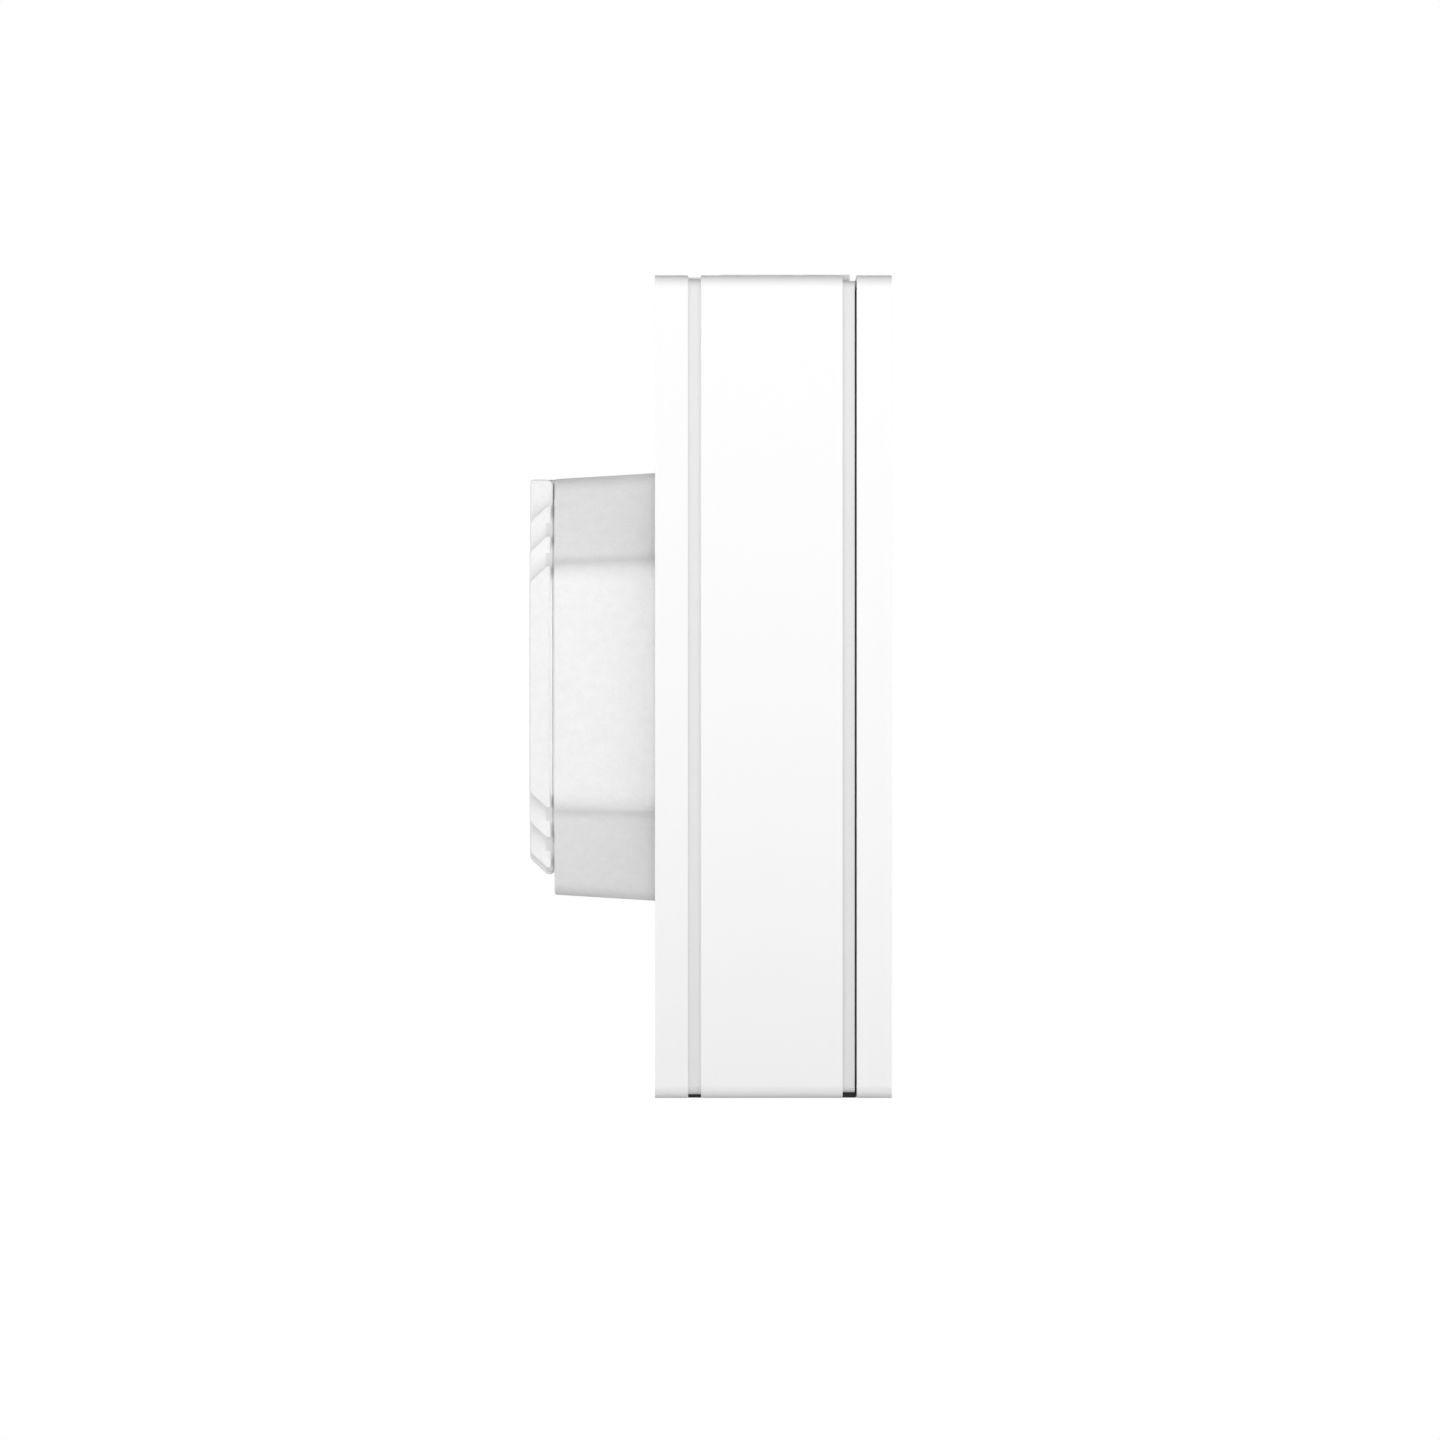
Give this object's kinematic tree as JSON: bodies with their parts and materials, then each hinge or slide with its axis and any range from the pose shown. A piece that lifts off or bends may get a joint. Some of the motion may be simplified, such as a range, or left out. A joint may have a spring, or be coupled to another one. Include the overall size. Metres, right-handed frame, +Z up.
{
  "type": "video doorbell",
  "caption": "Flush-mounted wired video doorbell: white slab body with recessed seams, hinged faceplate, camera window, lit bell button and an octagonal in-wall terminal box.",
  "frame": {"origin": "centre of the wall plane, between the two wall screw holes, at the bracket's back face", "axes": "+Z up, the front with the button looks along -Y, the in-wall box reaches into the wall along +Y, X is the width"},
  "size_m": [0.07, 0.0539, 0.1227],
  "materials": {
    "housing_white": "satin, fine coat",
    "faceplate_white": "satin, fine coat",
    "bracket_white": "satin, fine coat",
    "bead_white": "fine bead-blast texture",
    "seal_grey": "matte light-grey silicone",
    "seal_black": "black foam rubber",
    "chassis_grey": "moulded, lightly textured",
    "window_glass": "dark tinted glass",
    "pir_white": "translucent milky film",
    "button_white": "satin soft gloss",
    "ring_diffuser": "frosted light guide",
    "latch_white": "satin",
    "steel": "nickel plated",
    "spring_steel": "spring wire",
    "jack_steel": "tinned shell",
    "terminal_green": "moulded nylon",
    "black_plastic": "fine matte",
    "board_green": "solder mask",
    "led_clear": "cast resin",
    "lens_glass": "coated optical glass",
    "filter_glass": "coated flat glass",
    "copper_coil": "enamelled copper wire",
    "sensor_die": "polished silicon",
    "ribbon_amber": "polyimide film",
    "mic_gold": "plated can",
    "cone_black": "doped diaphragm",
    "magnet_grey": "plated",
    "chip_black": "moulded epoxy",
    "spreader_alu": "stamped",
    "transformer_tape": "taped ferrite",
    "capacitor_sleeve": "shrink sleeve",
    "wire_red": "flat harness",
    "cell_sleeve": "shrink sleeve"
  },
  "bodies": {
    "base": {"wall_bracket": "bracket_white", "rear_gasket": "seal_grey", "drip_seals": "seal_black", "main_housing": "housing_white", "front_gasket": "seal_grey", "front_chassis": "chassis_grey", "in_wall_box": "bead_white", "hinge_pin": "steel", "rj45_jack": "jack_steel", "terminal_block": "terminal_green", "terminal_screws": "steel", "light_ring": "ring_diffuser", "button_seal": "chassis_grey", "button_spring": "spring_steel", "button_board": "board_green", "tact_switch": "black_plastic", "ring_leds": "led_clear", "lens_barrel": "black_plastic", "lens_element": "lens_glass", "lens_seal": "seal_black", "lens_holder": "black_plastic", "ircut_coil": "copper_coil", "image_sensor": "sensor_die", "camera_board": "board_green", "camera_ribbon": "ribbon_amber", "ir_led_board": "board_green", "ir_leds": "led_clear", "pir_sensor": "steel", "microphone": "mic_gold", "mic_boot": "seal_black", "speaker_frame": "steel", "speaker_magnet": "magnet_grey", "speaker_gasket": "seal_black", "main_board": "board_green", "soc": "chip_black", "shield_can": "steel", "heat_spreader": "spreader_alu", "power_board": "board_green", "transformer": "transformer_tape", "filter_capacitors": "capacitor_sleeve", "power_harness": "wire_red", "backup_cell": "cell_sleeve", "wifi_antenna": "ribbon_amber", "antenna_cover": "latch_white", "latch_spring": "spring_steel", "setup_switch": "black_plastic", "io_board": "board_green", "m2_screws": "steel"},
    "faceplate": {"faceplate": "faceplate_white", "camera_window": "window_glass", "pir_lens": "pir_white"},
    "security_screw": {"security_screw": "steel"},
    "button": {"button_cap": "button_white"},
    "terminal_cover": {"terminal_cover": "bead_white"},
    "latch": {"top_latch": "latch_white"},
    "setup_button": {"setup_button": "latch_white"},
    "ircut": {"ircut_carriage": "black_plastic", "ircut_filter": "filter_glass"},
    "speaker_cone": {"speaker_cone": "cone_black"}
  },
  "joints": [
    {"name": "faceplate_swing", "type": "hinge", "parent": "base", "child": "faceplate", "pos_m": [0, -0.0299, 0.061], "axis": [-1, 0, 0], "range_deg": [0, 35]},
    {"name": "security_screw_turn", "type": "hinge", "parent": "faceplate", "child": "security_screw", "pos_m": [0, -0.0317, -0.06], "axis": [0, 0, -1], "continuous": true},
    {"name": "button_press", "type": "slide", "parent": "base", "child": "button", "axis": [0, 1, 0], "range_m": [0, 0.0006], "stiffness_N_per_m": 400, "springref_m": -0.0008, "deforming": ["button_spring"]},
    {"name": "terminal_cover_swing", "type": "hinge", "parent": "base", "child": "terminal_cover", "pos_m": [0, 0.0163, 0.0299], "axis": [1, 0, 0], "range_deg": [0, 88]},
    {"name": "latch_press", "type": "slide", "parent": "base", "child": "latch", "axis": [0, 0, -1], "range_m": [0, 0.0008], "stiffness_N_per_m": 400, "springref_m": -0.0008, "deforming": ["latch_spring"]},
    {"name": "setup_press", "type": "slide", "parent": "base", "child": "setup_button", "axis": [0, 0, 1], "range_m": [0, 0.0004], "stiffness_N_per_m": 300, "springref_m": -0.0008},
    {"name": "ircut_slide", "type": "slide", "parent": "base", "child": "ircut", "axis": [1, 0, 0], "range_m": [0, 0.0056]},
    {"name": "speaker_cone_travel", "type": "slide", "parent": "base", "child": "speaker_cone", "axis": [0, -1, 0], "range_m": [-0.0003, 0.0003], "stiffness_N_per_m": 1200}
  ]
}
